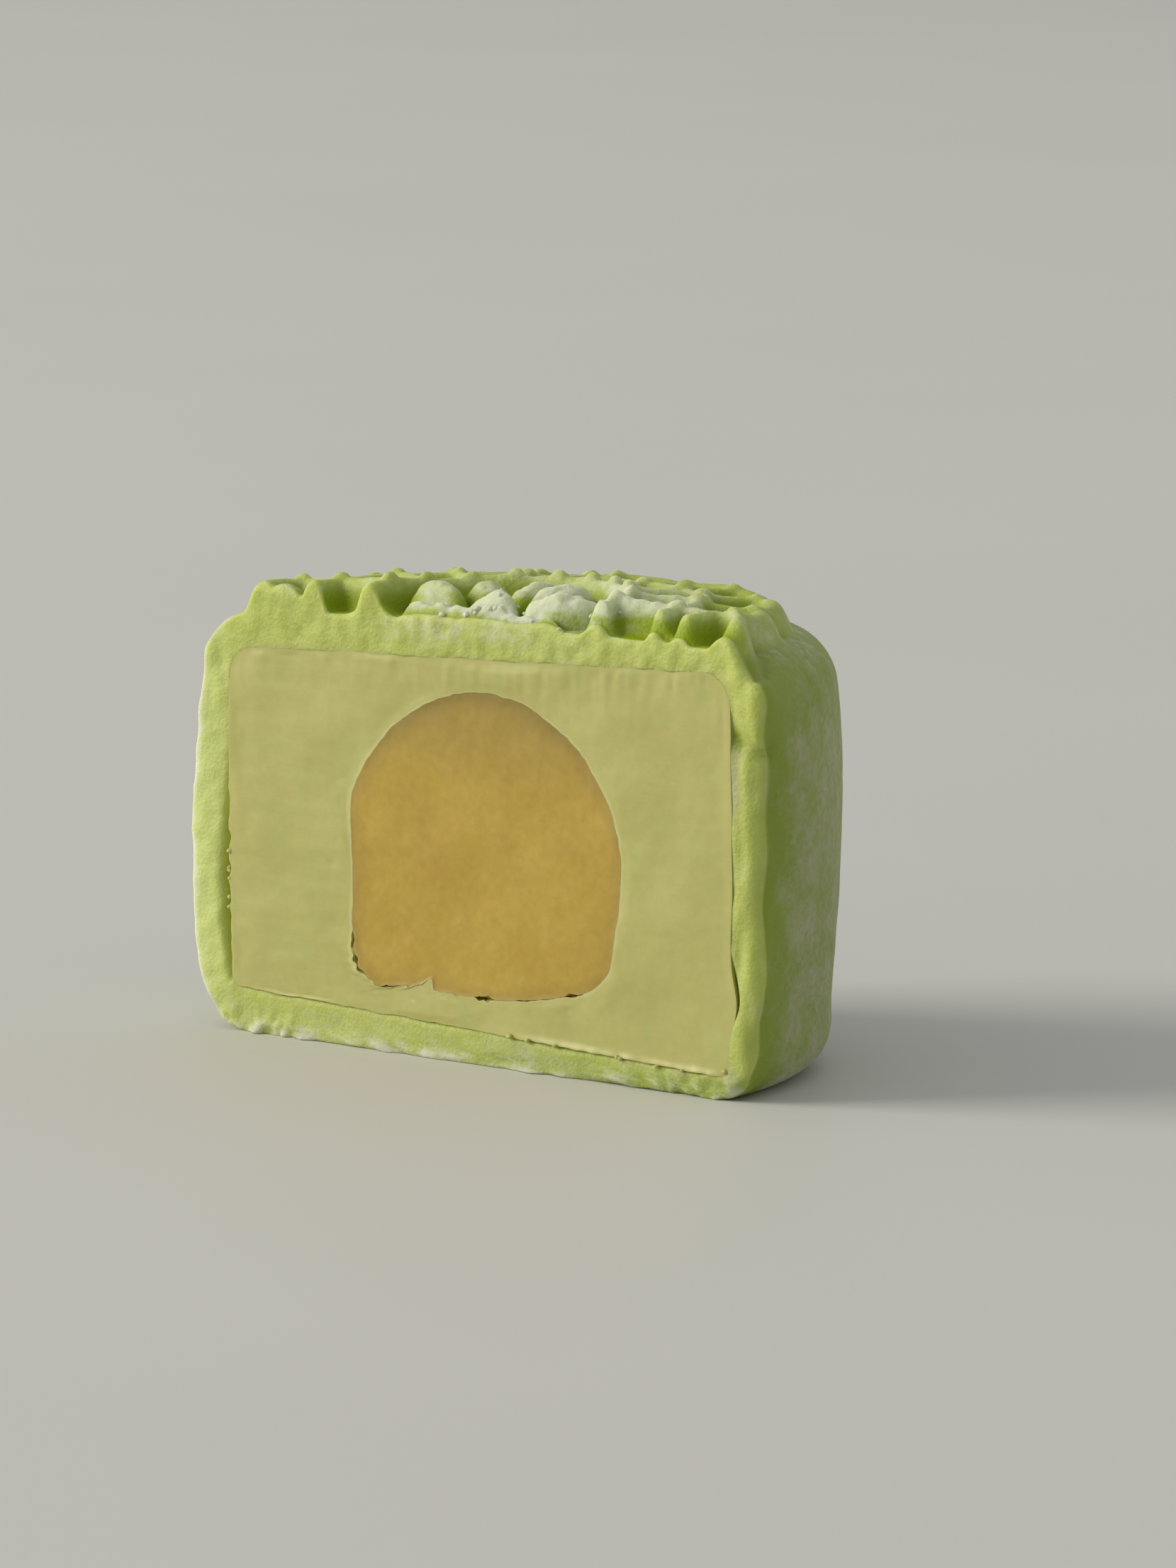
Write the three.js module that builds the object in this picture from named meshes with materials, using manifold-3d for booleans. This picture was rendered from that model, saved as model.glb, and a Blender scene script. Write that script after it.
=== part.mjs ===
// The cut half of a round snow-skin mooncake, standing on its foot with the cut face towards -Y.
// Millimetres, +Z up. Three solids: the soft skin with its moulded top, the filling, and the core.
// The shapes are worked out about the cake's own upright axis, and moved to the part's frame at the end.

import * as THREE from 'three';
import { mergeVertices } from 'three/addons/utils/BufferGeometryUtils.js';
import Module from 'manifold-3d';

const wasm = await Module();
wasm.setup();

// The whole cake before it was cut, up to its plain shoulder
const CAKE_RADIUS = 29.9;
const CAKE_HEIGHT = 36.4;
const CAKE_BARREL = 1.2;
const CAKE_CROWN = 0.7;
const FOOT_ROUND = 4.2;
const FOOT_SHIFT = 1.7;
const FOOT_SHIFT_HEIGHT = 9;
const SHOULDER_ROUND = 4.2;

// The cut misses the middle of the cake, so this piece is a little deeper than half
const CUT_OFFSET = 0.8;

// The soft cake leans to the right and its top rises that way, in millimetres for each millimetre
const LEAN = 0.036;
const LEAN_HEIGHT = 14;
const TOP_RISE = 0.014;

// The filling, which the skin wraps: its foot falls and its top rises to the right
const FILLING_RADIUS = 27.3;
const FILLING_FOOT = 2.95;
const FILLING_TOP = 34.4;
const FILLING_FOOT_RISE = -0.035;
const FILLING_TOP_RISE = 0.039;
const FILLING_X = 0.9;
const FILLING_FOOT_ROUND = 1.0;
const FILLING_TOP_ROUND = 2.6;
const FILLING_BARREL = 0.3;

// The core: a ball of custard, flat underneath, cut just in front of its middle
const CORE_RADIUS = 14.8;
const CORE_FOOT = 5.7;
const CORE_TOP = 31.7;
const CORE_FOOT_ROUND = 3.2;
const CORE_FOOT_LIFT = 1.5;
const CORE_TAPER = 2.0;
const CORE_BARREL = 0.2;
const CORE_SWELL = 0.8;
const CORE_SWELL_HEIGHT = 24.5;
const CORE_SWELL_HALF = 9;
const CORE_X = 2.1;
const CORE_BEHIND_CUT = 2.2;

// Neighbouring solids keep this gap, which opens into a crevice at the lower left of the cut
const GAP = 0.3;
const CREVICE_WIDTH = 0.8;
const CREVICE_HEIGHT = 13.5;
const CREVICE_HALF_LENGTH = 11;
const CREVICE_DEPTH = 8;

// The moulded top: a lobed rim, two rings of cells between ribs, and a flower in the middle.
// It is turned by half a lobe, so that the cut opens cells and runs along no rib
const LOBES = 20;
const PETALS = 10;
const RELIEF_TURN = Math.PI / LOBES;
const RELIEF_X = 0.6;
const RELIEF_RISE = 2.9;
const RELIEF_DEPTH_SHARE = 0.95;
const RIM_SHARE = 0.7;
const CELL_FLOOR = 0.3;
const RIM_RADIUS = 23.9;
const RIM_HALF = 0.95;
const RIM_DRAFT = 1.6;
const SKIRT_DROP = 1.1;
const LOBE_DEPTH = 1.2;
const LOBE_FULLNESS = 0.7;
const OUTER_RING = 18.6;
const INNER_RING = 12.4;
const RING_HALF = 0.75;
const RIDGE_SLOPE = 0.55;
const RIB_HALF = 0.6;
const PETAL_RING = 7.2;
const PETAL_HALF_LENGTH = 3.9;
const PETAL_HALF_WIDTH = 2.15;
const BUTTON_RADIUS = 3.1;
const RELIEF_ROOT = 2.2;

// Facets
const BODY_SEGMENTS = 72;
const CORE_SEGMENTS = 56;
const SAMPLES_A_LOBE = 8;
const LOBE_CROWDING = 0.08;
const WALL_STEPS = 7;
const CORNER_STEPS = 4;
const DOME_STEPS = 10;
const PETAL_SEGMENTS = 14;
const PETAL_BANDS = 8;

const SKIN_COLOUR = 0xa9c063;
const FILLING_COLOUR = 0xb7b76b;
const CORE_COLOUR = 0xb79c4e;

// Turns a closed three.js geometry into a manifold solid
function toSolid(geometry) {
  const bare = geometry.clone();
  bare.deleteAttribute('normal');
  bare.deleteAttribute('uv');
  const merged = mergeVertices(bare, 1e-4);
  const index = merged.index.array;
  const triangles = [];
  for (let i = 0; i < index.length; i += 3) {
    const [a, b, c] = [index[i], index[i + 1], index[i + 2]];
    if (a !== b && b !== c && c !== a) triangles.push(a, b, c);
  }
  return new wasm.Manifold(new wasm.Mesh({
    numProp: 3,
    vertProperties: new Float32Array(merged.attributes.position.array),
    triVerts: new Uint32Array(triangles),
  }));
}

function toGeometry(solid) {
  const mesh = solid.getMesh();
  const geometry = new THREE.BufferGeometry();
  geometry.setAttribute('position', new THREE.BufferAttribute(mesh.vertProperties, 3));
  geometry.setIndex(new THREE.BufferAttribute(mesh.triVerts, 1));
  return geometry;
}

// Moves each point of a geometry by a function that changes the point it is given
function reshape(geometry, change) {
  const position = geometry.attributes.position;
  const point = new THREE.Vector3();
  for (let i = 0; i < position.count; i += 1) {
    point.fromBufferAttribute(position, i);
    change(point);
    position.setXYZ(i, point.x, point.y, point.z);
  }
  return geometry;
}

function cornerArc(centreX, centreZ, round, fromTurn, steps) {
  const points = [];
  for (let i = 0; i <= steps; i += 1) {
    const turn = fromTurn + (Math.PI / 2) * (i / steps);
    points.push(new THREE.Vector2(centreX + round * Math.cos(turn), centreZ + round * Math.sin(turn)));
  }
  return points;
}

// A round body turned about the upright axis: flat foot, barrelled wall, rounded corners
function roundBody({ radius, foot, top, footRound, topRound, barrel, segments, topSteps }) {
  const wallFoot = foot + footRound;
  const wallTop = top - topRound;
  const wall = [];
  for (let i = 1; i < WALL_STEPS; i += 1) {
    wall.push(new THREE.Vector2(radius, wallFoot + (wallTop - wallFoot) * (i / WALL_STEPS)));
  }
  const outline = [
    new THREE.Vector2(0, foot),
    ...cornerArc(radius - footRound, wallFoot, footRound, -Math.PI / 2, CORNER_STEPS),
    ...wall,
    ...cornerArc(radius - topRound, wallTop, topRound, 0, topSteps),
    new THREE.Vector2(0, top),
  ];
  for (const point of outline) {
    const share = point.x / radius;
    point.x += barrel * share * Math.sin(Math.PI * (point.y - foot) / (top - foot));
    if (point.x < 1e-6) point.x = 0;
  }
  return new THREE.LatheGeometry(outline, segments).rotateX(Math.PI / 2);
}

function leanOver(point) {
  point.x += LEAN * (point.z - LEAN_HEIGHT);
}

// The foot is tucked well in on the left and runs out almost square on the right
function shiftFoot(point) {
  const downwards = Math.max(0, 1 - point.z / FOOT_SHIFT_HEIGHT);
  point.x += FOOT_SHIFT * downwards ** 2 * Math.abs(point.x) / CAKE_RADIUS;
}

// Slopes a body's foot and top, and all between them in proportion
function slope(footRise, topRise, foot, top) {
  return (point) => {
    point.z += point.x * THREE.MathUtils.lerp(footRise, topRise, (point.z - foot) / (top - foot));
  };
}

// The top stands a little higher in the middle than at the shoulder
function crown(point) {
  const share = Math.min(1, Math.hypot(point.x, point.y) / CAKE_RADIUS);
  const height = THREE.MathUtils.smoothstep(point.z, CAKE_HEIGHT / 2, CAKE_HEIGHT - SHOULDER_ROUND);
  point.z += CAKE_CROWN * (1 - share ** 2) * height;
}

const bump = (value) => (Math.abs(value) < 1 ? Math.cos(value * Math.PI / 2) ** 2 : 0);
const ridge = (distance, half) => 1 - THREE.MathUtils.smoothstep(Math.abs(distance), half, half + RIDGE_SLOPE);

function wholeCake() {
  const body = roundBody({
    radius: CAKE_RADIUS,
    foot: 0,
    top: CAKE_HEIGHT,
    footRound: FOOT_ROUND,
    topRound: SHOULDER_ROUND,
    barrel: CAKE_BARREL,
    segments: BODY_SEGMENTS,
    topSteps: CORNER_STEPS,
  });
  reshape(body, shiftFoot);
  reshape(body, crown);
  reshape(body, slope(0, TOP_RISE, 0, CAKE_HEIGHT));
  return toSolid(reshape(body, leanOver));
}

// The filling's form, grown all round by a gap where it serves as the hollow in the skin
function fillingForm(gap) {
  const body = roundBody({
    radius: FILLING_RADIUS + gap,
    foot: FILLING_FOOT - gap,
    top: FILLING_TOP + gap,
    footRound: FILLING_FOOT_ROUND + gap,
    topRound: FILLING_TOP_ROUND + gap,
    barrel: FILLING_BARREL,
    segments: BODY_SEGMENTS,
    topSteps: CORNER_STEPS,
  });
  reshape(body, slope(FILLING_FOOT_RISE, FILLING_TOP_RISE, FILLING_FOOT, FILLING_TOP));
  if (gap > 0) reshape(body, openCrevice);
  return toSolid(body.translate(FILLING_X, 0, 0));
}

function openCrevice(point) {
  const behindCut = point.y + CUT_OFFSET;
  const along = bump((point.z - CREVICE_HEIGHT) / CREVICE_HALF_LENGTH);
  if (point.x < 0) point.x -= CREVICE_WIDTH * along * bump(behindCut / CREVICE_DEPTH);
}

// The core's form, grown all round by a gap where it serves as the pocket in the filling
function coreForm(gap) {
  const body = roundBody({
    radius: CORE_RADIUS + gap,
    foot: CORE_FOOT - gap,
    top: CORE_TOP + gap,
    footRound: CORE_FOOT_ROUND + gap,
    topRound: CORE_RADIUS + gap,
    barrel: CORE_BARREL,
    segments: CORE_SEGMENTS,
    topSteps: DOME_STEPS,
  });
  reshape(body, unevenCore);
  return toSolid(body.translate(CORE_X, CORE_BEHIND_CUT - CUT_OFFSET, 0));
}

// The core's foot curves up towards its right-hand end, and its left shoulder swells out
function unevenCore(point) {
  const rightwards = THREE.MathUtils.smoothstep(point.x, 0, CORE_RADIUS);
  const downwards = THREE.MathUtils.clamp(1 - (point.z - CORE_FOOT) / CORE_RADIUS, 0, 1);
  point.z += CORE_FOOT_LIFT * rightwards * downwards;
  point.x -= CORE_TAPER * rightwards * downwards ** 2;
  const leftwards = THREE.MathUtils.clamp(-point.x / CORE_RADIUS, 0, 1);
  point.x -= CORE_SWELL * leftwards * bump((point.z - CORE_SWELL_HEIGHT) / CORE_SWELL_HALF);
}

// Distances from the relief's centre at which its height changes
function reliefStations() {
  const around = (centre, half) => [
    centre - half - RIDGE_SLOPE,
    centre - half,
    centre + half,
    centre + half + RIDGE_SLOPE,
  ];
  return [
    ...around(INNER_RING, RING_HALF),
    ...around(OUTER_RING, RING_HALF),
    RIM_RADIUS - RIM_HALF - RIDGE_SLOPE,
    RIM_RADIUS - RIM_HALF,
    RIM_RADIUS + RIM_HALF,
    RIM_RADIUS + RIM_HALF + RIM_DRAFT,
  ];
}

// Height of the relief over its cell floors, from 0 to 1
function reliefHeight(distance, turn) {
  const lobeTurn = 2 * Math.PI / LOBES;
  const fromRib = Math.abs(turn - lobeTurn * Math.round(turn / lobeTurn)) * distance;
  const inCells = distance > INNER_RING && distance < RIM_RADIUS;
  const towardsRim = THREE.MathUtils.smoothstep(distance, INNER_RING, RIM_RADIUS - RIM_HALF);
  return THREE.MathUtils.lerp(1, RIM_SHARE, towardsRim) * Math.max(
    ridge(distance - RIM_RADIUS, RIM_HALF),
    ridge(distance - OUTER_RING, RING_HALF),
    ridge(distance - INNER_RING, RING_HALF),
    inCells ? ridge(fromRib, RIB_HALF) : 0,
  );
}

// The relief's ground plan: a disc whose outer part swells between the ribs into round lobes
function lobedDistance(distance, turn) {
  const outwards = Math.max(0, distance - OUTER_RING) / (RIM_RADIUS - OUTER_RING);
  const swell = Math.abs(Math.sin(turn * LOBES / 2)) ** LOBE_FULLNESS;
  return distance + outwards * LOBE_DEPTH * (swell - 0.5);
}

// Settles a piece of the relief, made about the relief's own centre, onto the uneven top
function ontoCake(geometry) {
  reshape(geometry, (point) => {
    point.x += RELIEF_X;
    point.y *= RELIEF_DEPTH_SHARE;
  });
  reshape(geometry, crown);
  reshape(geometry, slope(0, TOP_RISE, 0, CAKE_HEIGHT));
  return toSolid(reshape(geometry, leanOver));
}

function ringsAndRibs() {
  const stations = reliefStations();
  const rootRadius = stations[stations.length - 1];
  const outline = [
    new THREE.Vector2(0, CAKE_HEIGHT - RELIEF_ROOT),
    new THREE.Vector2(rootRadius, CAKE_HEIGHT - RELIEF_ROOT),
    ...stations.slice().reverse().map((distance) => new THREE.Vector2(distance, CAKE_HEIGHT)),
    new THREE.Vector2(0, CAKE_HEIGHT),
  ];
  const disc = new THREE.LatheGeometry(outline, LOBES * SAMPLES_A_LOBE).rotateX(Math.PI / 2);
  reshape(disc, (point) => {
    const distance = Math.hypot(point.x, point.y);
    const share = Math.atan2(point.y, point.x) * LOBES / (2 * Math.PI);
    const turn = (share - LOBE_CROWDING * Math.sin(2 * Math.PI * share)) * 2 * Math.PI / LOBES;
    const spread = lobedDistance(distance, turn);
    const onTop = point.z > CAKE_HEIGHT - RELIEF_ROOT / 2;
    if (onTop) {
      const outside = distance > RIM_RADIUS + RIM_HALF + RIM_DRAFT / 2;
      point.z += outside ? -SKIRT_DROP : CELL_FLOOR + RELIEF_RISE * reliefHeight(distance, turn);
    }
    point.x = spread * Math.cos(turn);
    point.y = spread * Math.sin(turn);
  });
  return ontoCake(disc.rotateZ(RELIEF_TURN));
}

function rounded(halfLength, halfWidth, height) {
  const ball = new THREE.SphereGeometry(1, PETAL_SEGMENTS, PETAL_BANDS).rotateX(Math.PI / 2);
  return ball.scale(halfLength, halfWidth, height).translate(0, 0, CAKE_HEIGHT + CELL_FLOOR);
}

function flower() {
  const pieces = [ontoCake(rounded(BUTTON_RADIUS, BUTTON_RADIUS, RELIEF_RISE))];
  for (let i = 0; i < PETALS; i += 1) {
    const petal = rounded(PETAL_HALF_LENGTH, PETAL_HALF_WIDTH, RELIEF_RISE);
    petal.translate(PETAL_RING, 0, 0).rotateZ((i + 0.5) * 2 * Math.PI / PETALS);
    pieces.push(ontoCake(petal));
  }
  return pieces.reduce((joined, piece) => joined.add(piece));
}

// Everything behind the knife's cut
function behindCut() {
  const size = 4 * CAKE_RADIUS;
  return toSolid(new THREE.BoxGeometry(size, size, size).translate(0, size / 2 - CUT_OFFSET, 0));
}

function nodeMesh(name, solid, colour, roughness) {
  const material = new THREE.MeshStandardMaterial({ color: colour, roughness, metalness: 0 });
  const mesh = new THREE.Mesh(toGeometry(solid), material);
  mesh.name = name;
  return mesh;
}

const keptSide = behindCut();
const mouldedTop = ringsAndRibs().add(flower());
const skinSolid = wholeCake().add(mouldedTop).subtract(fillingForm(GAP)).intersect(keptSide);
const fillingSolid = fillingForm(0).subtract(coreForm(GAP)).intersect(keptSide);
const coreSolid = coreForm(0).intersect(keptSide);

const mooncake = new THREE.Group();
mooncake.add(nodeMesh('skin', skinSolid, SKIN_COLOUR, 0.62));
mooncake.add(nodeMesh('filling', fillingSolid, FILLING_COLOUR, 0.6));
mooncake.add(nodeMesh('core', coreSolid, CORE_COLOUR, 0.55));

// The part's origin is under the middle of the piece
const extent = new THREE.Box3().setFromObject(mooncake);
const middle = extent.getCenter(new THREE.Vector3());
mooncake.position.set(-middle.x, -middle.y, -extent.min.z);

export default mooncake;
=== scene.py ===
"""The cut half of a round snow-skin mooncake: rice-dough skin, bean filling and custard core.

Lengths are in millimetres until a piece is settled. A body is first shaped about the whole cake's
own upright axis, as the cake was moulded, and then moved to the part's frame, where the knife's cut
lies in one plane and features are placed along it by x and z.
"""

import math
import random

import bmesh
import bpy
import numpy as np
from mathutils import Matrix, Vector, noise


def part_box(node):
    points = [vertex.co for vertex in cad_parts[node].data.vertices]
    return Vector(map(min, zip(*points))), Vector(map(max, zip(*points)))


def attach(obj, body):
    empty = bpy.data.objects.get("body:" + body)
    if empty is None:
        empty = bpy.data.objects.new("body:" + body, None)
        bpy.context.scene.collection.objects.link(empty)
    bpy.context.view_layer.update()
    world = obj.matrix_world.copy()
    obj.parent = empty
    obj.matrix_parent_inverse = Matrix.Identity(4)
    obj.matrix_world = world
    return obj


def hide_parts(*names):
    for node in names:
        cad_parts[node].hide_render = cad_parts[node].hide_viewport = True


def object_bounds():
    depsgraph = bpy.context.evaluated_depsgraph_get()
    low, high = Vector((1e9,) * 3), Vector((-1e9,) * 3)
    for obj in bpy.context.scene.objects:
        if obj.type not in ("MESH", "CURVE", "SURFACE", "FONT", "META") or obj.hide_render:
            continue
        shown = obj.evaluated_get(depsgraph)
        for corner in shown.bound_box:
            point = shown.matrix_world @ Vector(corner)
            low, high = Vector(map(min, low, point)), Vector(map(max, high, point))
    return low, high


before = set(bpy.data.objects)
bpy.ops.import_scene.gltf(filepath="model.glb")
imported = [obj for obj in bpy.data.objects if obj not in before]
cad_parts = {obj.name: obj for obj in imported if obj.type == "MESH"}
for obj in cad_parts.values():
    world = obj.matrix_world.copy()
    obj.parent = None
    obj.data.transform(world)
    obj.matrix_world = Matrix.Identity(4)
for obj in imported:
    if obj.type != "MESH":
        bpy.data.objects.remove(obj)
cad_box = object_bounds()

MM = 0.001
WELD = 1e-4
SHARP = math.radians(58)

# The whole cake before it was cut, up to its plain shoulder
CAKE_RADIUS = 29.9
CAKE_HEIGHT = 36.4
CAKE_BARREL = 1.2
CAKE_CROWN = 0.7
FOOT_ROUND = 4.2
FOOT_SHIFT = 1.7
FOOT_SHIFT_HEIGHT = 9
SHOULDER_ROUND = 4.2
CUT_OFFSET = 0.8
LEAN = 0.036
LEAN_HEIGHT = 14
TOP_RISE = 0.014

# The filling, which the skin wraps
FILLING_RADIUS = 27.3
FILLING_FOOT = 2.95
FILLING_TOP = 34.4
FILLING_FOOT_RISE = -0.035
FILLING_TOP_RISE = 0.039
FILLING_X = 0.9
FILLING_FOOT_ROUND = 1.0
FILLING_TOP_ROUND = 2.6
FILLING_BARREL = 0.3

# The core: a ball of custard, flat underneath
CORE_RADIUS = 14.8
CORE_FOOT = 5.7
CORE_TOP = 31.7
CORE_FOOT_ROUND = 3.2
CORE_FOOT_LIFT = 1.5
CORE_TAPER = 2.0
CORE_BARREL = 0.2
CORE_SWELL = 0.8
CORE_SWELL_HEIGHT = 24.5
CORE_SWELL_HALF = 9
CORE_X = 2.1
CORE_BEHIND_CUT = 2.2

# The moulded top
LOBES = 20
PETALS = 10
RELIEF_TURN = math.pi / LOBES
RELIEF_X = 0.6
RELIEF_RISE = 2.9
RELIEF_DEPTH_SHARE = 0.95
RIM_SHARE = 0.7
CELL_FLOOR = 0.3
RIM_RADIUS = 23.9
RIM_HALF = 0.95
LOBE_DEPTH = 1.2
LOBE_FULLNESS = 0.7
OUTER_RING = 18.6
INNER_RING = 12.4
RING_HALF = 0.75
RIB_HALF = 0.6
PETAL_RING = 7.2
PETAL_HALF_LENGTH = 3.9
PETAL_HALF_WIDTH = 2.15
BUTTON_RADIUS = 3.1
RIM_PUSH = 1.9

# Soft layers press into each other by this much where they touch, and open at the crevices
PRESS = 0.02

# From the whole cake's frame to the part's, both in millimetres
filling_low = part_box("filling")[0] / MM
CUT_Y = filling_low.y
AXIS_X = filling_low.x + FILLING_RADIUS + FILLING_BARREL - FILLING_X
TO_PART = Vector((AXIS_X, CUT_Y + CUT_OFFSET, 0))
RIGHT_END = cad_box[1].x / MM
TOP_TO_PART = TO_PART.x + LEAN * (CAKE_HEIGHT + RELIEF_RISE - LEAN_HEIGHT)


def smooth(low, high, value):
    """Rises softly from 0 at low to 1 at high."""
    share = min(1.0, max(0.0, (value - low) / (high - low)))
    return share * share * (3 - 2 * share)


def hump(value):
    """1 in the middle, falling softly to 0 at -1 and 1."""
    return math.cos(value * math.pi / 2) ** 2 if abs(value) < 1 else 0.0


def bell(value):
    """1 in the middle, falling off softly to both sides without an end."""
    return math.exp(-value * value)


def lumps(point, size, kind):
    """Smooth noise from -1 to 1, with lumps about this many millimetres across.

    Each kind is noise of its own, so that two forms don't rise and fall together.
    """
    return noise.noise(Vector(point) / size + Vector((31.7, 11.3, 5.9)) * kind)


def mix(low, high, share):
    return low + (high - low) * share


# Bodies of the cake

CORNER_STEPS = 30


def body_outline(radius, foot, top, foot_round, top_round, barrel, shares):
    """Half of an upright section, from the foot's middle to the top's, at shares of its length."""
    def corner(centre, height, size, start):
        turn = np.radians(np.linspace(start, start + 90, CORNER_STEPS))
        return np.column_stack([centre + size * np.cos(turn), height + size * np.sin(turn)])

    path = np.vstack([
        [(0, foot)],
        corner(radius - foot_round, foot + foot_round, foot_round, -90),
        corner(radius - top_round, top - top_round, top_round, 0),
        [(0, top)],
    ])
    run = np.concatenate([[0], np.cumsum(np.hypot(*np.diff(path, axis=0).T))])
    out = np.interp(shares * run[-1], run, path[:, 0])
    height = np.interp(shares * run[-1], run, path[:, 1])
    out[[0, -1]] = 0
    return out + barrel * out / radius * np.sin(np.pi * (height - foot) / (top - foot)), height


def stretches(*parts):
    """Shares from 0 to 1: each part is where a stretch ends and how many steps it takes."""
    start = 0
    pieces = []
    for end, steps in parts:
        pieces.append(np.linspace(start, end, steps, endpoint=False))
        start = end
    return np.concatenate([*pieces, [1.0]])


def new_body():
    bm = bmesh.new()
    bm.verts.layers.int.new("station")
    bm.verts.layers.int.new("side")
    return bm


def half_turn(bm, outline, steps, radius, behind, crowding=0.3):
    """Spins an outline from the cut's right-hand end round the back to its left-hand end.

    The body's true axis lies behind the cut, so the half turn is stretched to the back. The steps
    crowd towards the cut.
    """
    station, side = bm.verts.layers.int["station"], bm.verts.layers.int["side"]
    older = set(bm.verts)
    row = [bm.verts.new((out, 0, height)) for out, height in zip(*outline)]
    for number, vert in enumerate(row):
        vert[station] = number
    chain = [bm.edges.new(pair) for pair in zip(row, row[1:])]
    bmesh.ops.spin(bm, geom=row + chain, cent=(0, 0, 0), axis=(0, 0, 1), angle=math.pi, steps=steps)
    bmesh.ops.remove_doubles(bm, verts=[v for v in bm.verts if v not in older], dist=WELD)
    made = [v for v in bm.verts if v not in older]
    for vert in made:
        out = math.hypot(vert.co.x, vert.co.y)
        turn = math.atan2(vert.co.y, vert.co.x)
        turn -= crowding / 2 * math.sin(2 * turn)
        vert[side] = 0 if out < WELD else int(math.copysign(1, math.cos(turn)))
        vert.co.x = out * math.cos(turn) * math.sqrt(1 - (behind / radius) ** 2)
        vert.co.y = out * math.sin(turn) * (1 + behind / radius) - CUT_OFFSET
    inside = set(made)
    rim = [e for e in bm.edges if e.is_boundary and e.verts[0] in inside]
    return made, rim


def close_cut(bm, rim, goal, rings, place):
    """Extrudes a rim over the cut in rings, towards goal(vertex of the rim).

    place(start, end, share) says where a ring's vertex lies. The new vertices are returned with
    their shares of the way.
    """
    root = {v: v for e in rim for v in e.verts}
    start = {v: v.co.copy() for v in root}
    end = {v: goal(v) for v in root}
    made = []
    for ring in range(1, rings + 1):
        extruded = bmesh.ops.extrude_edge_only(bm, edges=rim)["geom"]
        fresh = [item for item in extruded if isinstance(item, bmesh.types.BMVert)]
        on_ring = set(fresh)
        rim = [item for item in extruded
               if isinstance(item, bmesh.types.BMEdge) and on_ring.issuperset(item.verts)]
        step = {}
        for vert in fresh:
            others = (edge.other_vert(vert) for edge in vert.link_edges)
            step[vert] = root[next(other for other in others if other in root)]
        for vert, origin in step.items():
            vert.co = place(start[origin], end[origin], ring / rings)
            made.append((vert, ring / rings))
        root = step
    return made


def weld_last(bm, made, rim=()):
    """Joins the last ring of a closed cut to the rim that it reaches, or to one middle point."""
    last = {vert for vert, share in made if share == 1}
    last.update(vert for edge in rim for vert in edge.verts)
    bmesh.ops.remove_doubles(bm, verts=[vert for vert in bm.verts if vert in last], dist=WELD)


def matching(bm, rim):
    """Finds, for a vertex of one rim, the place of the vertex with its station and side on another."""
    station, side = bm.verts.layers.int["station"], bm.verts.layers.int["side"]
    found = {(v[station], v[side]): v.co.copy() for e in rim for v in e.verts}
    return lambda vert: found[vert[station], vert[side]]


def slope(point, foot_rise, top_rise, foot, top):
    """Tilts a body's foot and top, each by its own rise for a millimetre to the right."""
    point.z += point.x * mix(foot_rise, top_rise, (point.z - foot) / (top - foot))


def settle(name, bm, material, node=None):
    """Turns a finished body into a piece of the part, in metres."""
    bmesh.ops.recalc_face_normals(bm, faces=bm.faces)
    for edge in bm.edges:
        edge.smooth = edge.calc_face_angle(0) < SHARP
    bmesh.ops.scale(bm, vec=(MM, MM, MM), verts=bm.verts)
    mesh = bpy.data.meshes.new(name)
    bm.to_mesh(mesh)
    bm.free()
    mesh.shade_smooth()
    mesh.materials.append(material)
    piece = bpy.data.objects.new(name, mesh)
    bpy.context.scene.collection.objects.link(piece)
    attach(piece, "root")
    if node:
        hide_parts(node)
    return piece


# The moulded top's relief

# Where stretches of the cut begin and end, as soft steps along it: the middle, then the right part
MIDDLE_STARTS = (-9.2, -7.6)
MIDDLE_ENDS = (6.5, 8.5)
RIGHT_PART_ENDS = (24, 26)
LOBES_X = -20.8
POST_X = -10.8
WALL_X = 22.6


def soft_ridge(offset, half):
    """A rounded ridge, half as high a little outside its half width."""
    return math.exp(-abs(offset / (half + 0.42)) ** 3)


def press_ends(along, back):
    """What share of its height a ridge keeps near the cut, where the knife pressed its end down."""
    middle = smooth(*MIDDLE_STARTS, along) * (1 - smooth(*MIDDLE_ENDS, along))
    right = smooth(*MIDDLE_ENDS, along) * (1 - smooth(*RIGHT_PART_ENDS, along))
    end = smooth(*RIGHT_PART_ENDS, along)
    flat = middle * 0.8 * (1 - smooth(0.2, 2.2, back))
    nose = right * 0.7 * (1 - smooth(0, 0.7, back)) + end * 0.45 * (1 - smooth(0, 2.0, back))
    return 1 - flat - nose


def cut_lumps(along, back):
    """Ridges and lumps that stand only at the cut: joined lobes, a post and, on the right, a wall."""
    lobes = 0.78 * bell((along - LOBES_X) / 3.0) * bell(back / 3.5)
    post = 0.62 * bell((along - POST_X) / 1.5) * bell(back / 2.5)
    standing = smooth(-0.4, 0.8, back) * (1 - smooth(3, 4.5, back))
    wall = 0.92 * soft_ridge(along - WALL_X - 0.2 * back, 0.45) * standing
    return lobes, post, wall


def crumbled(along, back):
    """Where the pressed and torn dough at the middle of the cut is a bank of white crumbs."""
    return smooth(-8.4, -6.6, along) * (1 - smooth(5.5, 8.5, along)) * bell((back - 0.9) / 0.8)


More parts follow.
